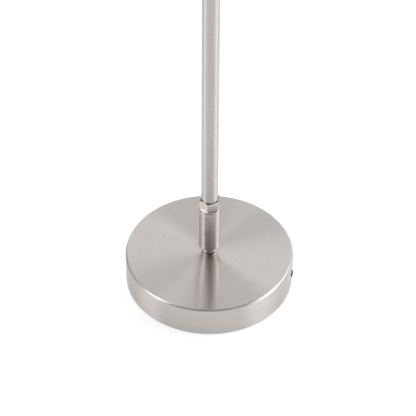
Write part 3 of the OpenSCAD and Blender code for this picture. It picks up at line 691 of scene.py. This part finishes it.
def make_dimmer():
    """Housing, its pad and its cap, and the knob."""
    low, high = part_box("dimmer_housing")
    radius = (high[0] - low[0]) / 2
    wall, floor, hole = 1.5 * MM, 4 * MM, 8.05 * MM
    profile = rounded([
        (hole, low[2], 0), (radius, low[2], 0.9 * MM), (radius, high[2], 0.15 * MM),
        (radius - wall, high[2], 0), (radius - wall, low[2] + floor, 0), (hole, low[2] + floor, 0)])
    turned("dimmer_housing_finish", profile, "pole", POLE_NICKEL,
           ["dimmer_housing"], sides=160)
    make_pad(11.5 * MM, -low[1], radius)
    radius, low_z, high_z = turned_size("housing_cap")
    lid = high_z - 4 * MM
    profile = rounded([
        (hole, high_z, 0), (hole, lid, 0), (radius - 3 * MM, lid, 0), (radius - 3 * MM, low_z, 0),
        (radius - 1.55 * MM, low_z, 0), (radius - 1.55 * MM, lid, 0), (radius, lid, 0.15 * MM),
        (radius, high_z, 0.9 * MM)])
    turned("housing_cap_finish", profile, "pole", POLE_NICKEL, ["housing_cap"],
           sides=160)
    make_knob()


def make_knob():
    """Knob with fluted sides: the radius is r - d (1 + cos 48 t) / 2 between two plain bands."""
    low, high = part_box("dimmer_knob")
    radius, back, front = (high[0] - low[0]) / 2, -high[1], -low[1]
    sides, flutes, depth, soft = 768, 48, 0.35 * MM, 1.0 * MM
    angle = np.arange(sides) * TAU / sides
    wave = depth * (1 + np.cos(flutes * angle)) / 2
    groove = np.exp(-(np.abs(np.mod(angle - TAU / 4 + math.pi, TAU) - math.pi) / 0.075) ** 6)
    rows = []

    def row(radii, height):
        """One ring of the knob at one height."""
        rows.append((np.broadcast_to(radii, (sides,)).astype(float), height + 0 * angle))

    recess, recess_end, bore = 6.8 * MM, back + 5.2 * MM, 2.55 * MM
    row(bore, recess_end)
    row(recess, recess_end)
    row(recess, back)
    for step in np.linspace(0, TAU / 4, 5):
        row(radius - 0.4 * MM * (1 - math.sin(step)), back + 0.4 * MM * (1 - math.cos(step)))
    row(radius, back + 2.2 * MM)
    row(radius, back + 2.5 * MM)
    for share in np.linspace(0, 1, 4):
        row(radius - wave * share, back + 2.5 * MM + share * 0.5 * MM)
    for share in np.linspace(1, 0, 4):
        row(radius - wave * share, front - 2.5 * MM - share * 0.5 * MM)
    row(radius, front - 2.2 * MM)
    for step in np.linspace(0, TAU / 4, 8):
        row(radius - soft * (1 - math.cos(step)), front - soft * (1 - math.sin(step)))
    for share in np.linspace(0.0, 1.0, 24):
        ring = (radius - soft) * (1 - share) + 0.2 * MM * share
        mark = groove * np.clip((ring - 2.2 * MM) / (0.4 * MM), 0, 1)
        width = np.clip(ring / radius, 0.2, 1)
        rows.append((np.full(sides, ring), front - 0.5 * MM * mark * width))
    row(0.0, front)
    row(0.0, front - 2.2 * MM)
    row(bore, front - 2.2 * MM)
    radii = np.array([item[0] for item in rows])
    heights = np.array([item[1] for item in rows])
    points = np.stack([radii * np.cos(angle), radii * np.sin(angle), heights], -1).reshape(-1, 3)
    add_piece("dimmer_knob_finish", towards_front(points), grid_faces(len(rows), sides, True),
              "knob", MIRROR_NICKEL, ["dimmer_knob"], crease=32.0)


# ---------------------------------------------------------------- head

def make_collar_and_holder():
    """Polished collar that flares to a spun dish under the glass."""
    low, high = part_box("head_collar")
    top, bottom, tube = (high[0] - low[0]) / 2, 15.5 * MM, 12.55 * MM
    flare = top - bottom
    rim = high[2] - 1.5 * MM
    share = np.linspace(math.pi, TAU / 4, 25)
    curve = [(top + flare * math.cos(a), rim - flare + flare * math.sin(a), 0) for a in share]
    profile = rounded([(tube, low[2], 0.2 * MM), (bottom, low[2], 0.5 * MM)] + curve + [
        (top, high[2], 0.35 * MM), (5.0 * MM, high[2], 0), (5.0 * MM, high[2] - 6 * MM, 0),
        (tube, high[2] - 6 * MM, 0)])
    turned("head_collar_finish", profile, "pole", MIRROR_NICKEL, ["head_collar"])

    radius, low, high = turned_size("glass_holder")
    sheet, rise, floor = 1.5 * MM, 12 * MM, 27 * MM
    seat = radius - 24.8 * MM
    hole = 5.05 * MM
    profile = rounded([
        (hole, low, 0), (floor, low, 3 * MM), (seat + sheet, low + rise, 3 * MM),
        (radius, low + rise, 1.4 * MM), (radius, high, 0.5 * MM), (radius - sheet, high, 0.5 * MM),
        (radius - sheet, low + rise + sheet, 0.4 * MM), (seat, low + rise + sheet, 2 * MM),
        (floor - sheet, low + sheet, 2 * MM), (hole, low + sheet, 0)])
    turned("glass_holder_finish", profile, "pole", POLE_NICKEL, ["glass_holder"],
           sides=192)


def make_bowl():
    """Bowl: inner and outer arcs of two spheres about one centre, a rim bead and a ground foot."""
    low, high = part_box("glass_bowl")
    bead = 3.0 * MM
    rim = high[2] - bead
    depth = rim - low[2]
    glass, foot = 4 * MM, 56 * MM
    radius = 186 * MM
    centre_h = (radius ** 2 + depth ** 2 - foot ** 2) / (2 * depth)
    outer = math.hypot(foot, centre_h)
    inner = outer - glass
    middle = (radius + math.sqrt(inner ** 2 - (centre_h - depth) ** 2)) / 2 - 0.03 * MM

    def sphere_arc(size, start_h, end_h, count):
        """Points (radius, height) on a sphere of that size, between two heights."""
        heights = centre_h - size * np.cos(np.linspace(math.acos((centre_h - start_h) / size),
                                                       math.acos((centre_h - end_h) / size), count))
        return np.stack([np.sqrt(size ** 2 - (centre_h - heights) ** 2), heights], -1)

    outside = sphere_arc(outer, 0.5 * MM, depth - 2.6 * MM, 60)
    inside = sphere_arc(inner, depth - 2.6 * MM, 0.5 * MM, 60)
    swing = np.linspace(-0.22 * math.pi, 1.16 * math.pi, 26)[:, None]
    lip = np.concatenate([middle + bead * np.cos(swing), depth + bead * np.sin(swing)], axis=1)
    foot_points = np.array([[inside[-1][0] - 0.4 * MM, 0.12 * MM], [inside[-1][0] + 0.8 * MM, 0],
                            [outside[0][0] - 2.5 * MM, 0], [outside[0][0] - 1.2 * MM, 0.1 * MM]])
    profile = np.concatenate([outside, lip, inside, foot_points])
    profile[:, 1] += low[2]
    turned("glass_bowl_finish", profile, "bowl", OPAL, ["glass_bowl"], sides=256)


def make_bulb():
    """Bulb: a smooth globe and neck, and a cap with a rolled thread."""
    low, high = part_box("bulb_globe")
    radius = 30 * MM
    cap_radius = 13.2 * MM
    centre = high[2] - radius
    start = math.radians(122)
    sweep = np.linspace(0, start, 60)
    globe = np.stack([radius * np.sin(sweep), centre + radius * np.cos(sweep)], -1)
    join_r, join_z = globe[-1]
    slope = np.array([math.cos(start), -math.sin(start)])
    end = np.array([cap_radius - 0.3 * MM, low[2]])
    share = np.linspace(0, 1, 40)[1:, None]
    reach = (join_z - low[2]) * 0.55
    first = np.array([join_r, join_z])
    guide_a = first + slope * reach
    guide_b = end + np.array([0.0, reach * 0.9])
    curve = ((1 - share) ** 3 * first + 3 * (1 - share) ** 2 * share * guide_a
             + 3 * (1 - share) * share ** 2 * guide_b + share ** 3 * end)
    profile = np.concatenate([globe, curve, [[0, low[2]]]])
    profile[:, 0] = np.maximum(profile[:, 0], 0)
    turned("bulb_globe_finish", profile, "bulb", BULB_GLASS, ["bulb_globe"],
           closed=False)
    make_thread("bulb_cap_finish", "bulb_cap", cap_radius - 0.35 * MM, "bulb", CAP_METAL)


def make_thread(name, node, middle, body, material):
    """Rolled thread: radius = middle + depth cos(TAU z / pitch - t), between plain ends."""
    low, high = turned_size(node)[1:]
    pitch, depth, sides = 3.6 * MM, 0.35 * MM, 96
    angle = np.arange(sides) * TAU / sides
    heights = np.linspace(low, high, 97)
    fade = np.clip(np.minimum(heights - low - 2.5 * MM, high - 2.5 * MM - heights) / (1.5 * MM), 0, 1)
    turn = TAU * heights[:, None] / pitch - angle
    radii = middle + depth * np.cos(turn) * fade[:, None]
    end = np.clip((heights - low) / (2.5 * MM), 0, 1)
    radii -= (1.6 * MM * (1 - np.sqrt(1 - (1 - end) ** 2)))[:, None]
    radii = np.vstack([0 * radii[:1], radii, 0 * radii[:1]])
    heights = np.concatenate([[low], heights, [high]])
    shaped(name, radii, heights, body, material, [node])


def make_lamp_holder():
    """Porcelain lamp holder with soft edges, and its gasket with a rounded upstand."""
    low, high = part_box("socket_body")
    radius, bore = (high[0] - low[0]) / 2, 14.5 * MM
    floor = low[2] + 10 * MM
    profile = rounded([
        (5 * MM, low[2], 0), (radius - 3 * MM, low[2], 1.5 * MM), (radius, low[2] + 5 * MM, 2 * MM),
        (radius, high[2] - 6 * MM, 0.6 * MM), (radius - 0.9 * MM, high[2] - 5 * MM, 0.6 * MM),
        (radius - 0.9 * MM, high[2], 1.4 * MM), (bore, high[2], 1.0 * MM), (bore, floor, 0),
        (5 * MM, floor, 0)])
    turned("socket_body_finish", profile, "pole", PORCELAIN, ["socket_body"])
    radius, low, high = turned_size("glass_gasket")
    foot_top = low + 2.5 * MM
    bead = 39.5 * MM
    profile = rounded([
        (bead - 2 * MM, low, 0.3 * MM), (radius, low, 0.3 * MM), (radius, foot_top, 0.5 * MM),
        (bead, foot_top, 0.4 * MM), (bead, high, 0.8 * MM), (bead - 2 * MM, high, 0.8 * MM)])
    turned("glass_gasket_finish", profile, "pole", SILICONE, ["glass_gasket"], sides=192)


# ---------------------------------------------------------------- finishes of the solids that stay

SOLID_FINISH = {
    "base_weight": CAST_IRON, "terminal_block": WHITE_PLASTIC,
    "terminal_screws": BRASS, "base_wire": CABLE, "base_stud": ZINC, "stud_washer": ZINC,
    "stud_nut": ZINC, "clamp_collet": NYLON, "slip_plug": NYLON, "tube_coupler": ZINC,
    "middle_plug": ZINC, "lower_wire": CABLE, "housing_nuts": ZINC, "dimmer_module": BLUE_PLASTIC,
    "bushing_nut": ZINC, "dimmer_shaft": BRASS, "upper_plug": ZINC, "upper_wire": CABLE,
    "head_plug": ZINC, "set_screw": ZINC, "nipple": ZINC, "holder_washer": ZINC,
    "holder_nut": BRASS, "socket_liner": BRASS, "socket_contact": BRASS, "bulb_contact": BRASS,
}


def finish_solids():
    """Gives each solid that stays its own finish."""
    for name, material in SOLID_FINISH.items():
        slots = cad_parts[name].material_slots
        for item in slots:
            item.material = material


# ---------------------------------------------------------------- studio

def make_floor():
    """Wide pale floor. What the camera sees of it is lifted to the white of the background."""
    material = bpy.data.materials.new("pale_floor")
    material.use_nodes = True
    tree = material.node_tree
    tree.nodes.remove(tree.nodes["Principled BSDF"])
    diffuse = add_node(tree, "ShaderNodeBsdfDiffuse", {"Color": (0.82, 0.82, 0.82, 1)})
    glow = add_node(tree, "ShaderNodeEmission", {"Color": (1, 1, 1, 1)})
    path = add_node(tree, "ShaderNodeLightPath")
    lift = math_node(tree, "ADD", math_node(tree, "MULTIPLY", path.outputs["Is Camera Ray"], 0.5),
                     math_node(tree, "MULTIPLY", path.outputs["Is Glossy Ray"], FLOOR_GLOW))
    tree.links.new(lift, glow.inputs["Strength"])
    both = add_node(tree, "ShaderNodeAddShader")
    tree.links.new(diffuse.outputs[0], both.inputs[0])
    tree.links.new(glow.outputs[0], both.inputs[1])
    tree.links.new(both.outputs[0], tree.nodes["Material Output"].inputs["Surface"])
    mesh = bpy.data.meshes.new("floor")
    half = 30.0
    mesh.from_pydata([(-half, -half, 0), (half, -half, 0), (half, half, 0), (-half, half, 0)],
                     [], [(0, 1, 2, 3)])
    mesh.materials.append(material)
    floor = bpy.data.objects.new("floor", mesh)
    bpy.context.scene.collection.objects.link(floor)


def direction(azimuth, elevation):
    """Unit vector from the lamp, at degrees to the right of the main view and above the floor."""
    a, e = VIEW_AZIMUTH + math.radians(azimuth), math.radians(elevation)
    return (math.sin(a) * math.cos(e), -math.cos(a) * math.cos(e), math.sin(e))


def sky_angles(tree):
    """Azimuth from the main view and elevation, both in degrees, of the direction that a ray goes."""
    vector = add_node(tree, "ShaderNodeTexCoord").outputs["Generated"]
    parts = []
    for axis in (direction(90, 0), direction(0, 0), (0, 0, 1)):
        dot = add_node(tree, "ShaderNodeVectorMath", operation="DOT_PRODUCT")
        dot.inputs[1].default_value = axis
        tree.links.new(vector, dot.inputs[0])
        parts.append(dot.outputs["Value"])
    azimuth = math_node(tree, "ARCTAN2", parts[0], parts[1])
    elevation = math_node(tree, "ARCSINE", parts[2])
    return [math_node(tree, "DEGREES", angle) for angle in (azimuth, elevation)]


def soft_step(tree, value, nothing, full):
    """0 at one value, rising smoothly to 1 at the other."""
    step = add_node(tree, "ShaderNodeMapRange", {"From Min": nothing, "From Max": full},
                    interpolation_type="SMOOTHSTEP")
    tree.links.new(value, step.inputs["Value"])
    return step.outputs["Result"]


def sky_panel(tree, angles, centre, half, fade, low, high, edge):
    """Soft-edged panel of the studio: its azimuth, half width and fade, and its heights, in degrees."""
    turned_by = math_node(tree, "SUBTRACT", angles[0], centre)
    wrapped = add_node(tree, "ShaderNodeMath", operation="WRAP")
    tree.links.new(turned_by, wrapped.inputs[0])
    wrapped.inputs[1].default_value, wrapped.inputs[2].default_value = -180, 180
    aside = math_node(tree, "ABSOLUTE", wrapped.outputs[0])
    across = soft_step(tree, aside, half + fade, half)
    above = soft_step(tree, angles[1], low - edge, low)
    below = soft_step(tree, angles[1], high + edge, high)
    return math_node(tree, "MULTIPLY", across, math_node(tree, "MULTIPLY", above, below))


# Azimuth, half width, fade, lowest and highest elevation and edge in degrees, and brightness.
# A negative brightness takes light away from the panels that it overlaps.
STUDIO_PANELS = {
    "strip_left": (-70, 6, 16, 1, 49, 17, 1.97),
    "strip_right": (70, 7, 20, -12, 16, 8, 3.6),
    "box_right": (105, 11, 23, 28, 51, 15, 2.52),
    "box_left": (-110, 18, 28, 35, 48, 13, 1.12),
    "wall_behind": (166, 41, 20, -7, 40, 15, 0.97),
    "screen_behind": (-156, 21, 25, -9, 26, 13, 0.2),
    "overhead": (0, 180, 10, 66, 100, 21, 0.835),
    "front_fill": (0, 50, 40, 0, 40, 20, 0.25),
    "dark_flag": (0, 16, 24, 44, 66, 10, -0.45),
}
FLOOR_GLOW = 0.3


def make_world():
    """Dim studio with soft panels: a strip on each side, boxes above them, a wall behind,
    one overhead and a faint fill in front."""
    world = bpy.data.worlds.new("studio")
    world.use_nodes = True
    bpy.context.scene.world = world
    tree = world.node_tree
    background = tree.nodes["Background"]
    angles = sky_angles(tree)
    shade = 0.0
    for *form, brightness in STUDIO_PANELS.values():
        panel = math_node(tree, "MULTIPLY", sky_panel(tree, angles, *form), brightness)
        shade = math_node(tree, "ADD", panel, shade)
    shade = math_node(tree, "MAXIMUM", shade, 0.0)
    path = add_node(tree, "ShaderNodeLightPath")
    seen = math_node(tree, "MAXIMUM", path.outputs["Is Camera Ray"], path.outputs["Is Transmission Ray"])
    mix = add_node(tree, "ShaderNodeMix", data_type="FLOAT")
    mix.inputs["B"].default_value = 1.0
    tree.links.new(seen, mix.inputs["Factor"])
    tree.links.new(shade, mix.inputs["A"])
    tree.links.new(mix.outputs["Result"], background.inputs["Strength"])
    background.inputs["Color"].default_value = (1, 1, 1, 1)


def make_camera():
    """Long lens that looks down on the base, rolled very slightly."""
    data = bpy.data.cameras.new("camera")
    data.sensor_width, data.lens = 36.0, 144.26
    data.clip_end = 100.0
    camera = bpy.data.objects.new("camera", data)
    bpy.context.scene.collection.objects.link(camera)
    elevation, roll, distance = 42.28, math.radians(0.33), 2.4686
    back = np.array(direction(0, elevation))
    right = np.array([math.cos(VIEW_AZIMUTH), math.sin(VIEW_AZIMUTH), 0])
    up = np.cross(back, right)
    target = -0.0024 * right + np.array([0, 0, 0.1374])
    cosine, sine = math.cos(roll), math.sin(roll)
    right, up = right * cosine + up * sine, up * cosine - right * sine
    matrix = np.eye(4)
    matrix[:3, 0], matrix[:3, 1], matrix[:3, 2] = right, up, back
    matrix[:3, 3] = target + back * distance
    camera.matrix_world = mathutils.Matrix(matrix.tolist())
    bpy.context.scene.camera = camera


make_camera()
make_world()
make_floor()
make_base_cover()
make_gland()
make_underside()
make_pads()
make_plate_screws()
make_clamp()
make_pole()
make_dimmer()
make_collar_and_holder()
make_bowl()
make_bulb()
make_lamp_holder()
finish_solids()
bpy.context.scene.view_settings.view_transform = "Standard"
